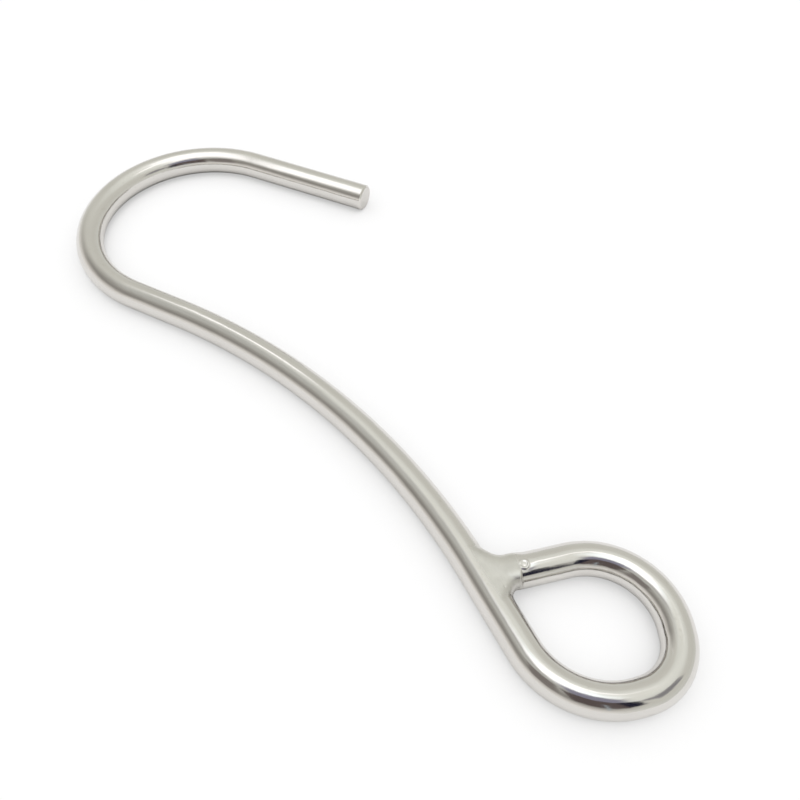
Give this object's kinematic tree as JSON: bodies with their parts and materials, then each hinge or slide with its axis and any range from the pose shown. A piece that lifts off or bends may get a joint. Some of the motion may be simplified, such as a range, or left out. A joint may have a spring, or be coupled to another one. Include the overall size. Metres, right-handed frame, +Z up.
{
  "type": "reef hook",
  "caption": "Reef hook bent from one round stainless bar, with a wide open hook, a bowed shank and a welded teardrop eye.",
  "frame": {"origin": "middle of the eye, on the bar's centre line plane", "axes": "+X along the load line from the eye to the centre of the hook bend, +Z up out of the plane that the bar is bent in"},
  "size_m": [0.1676, 0.0664, 0.006],
  "materials": {
    "stainless_steel": "polished bar, with a soft satin on the shank"
  },
  "bodies": {
    "root": {"hook": "stainless_steel"}
  },
  "joints": []
}
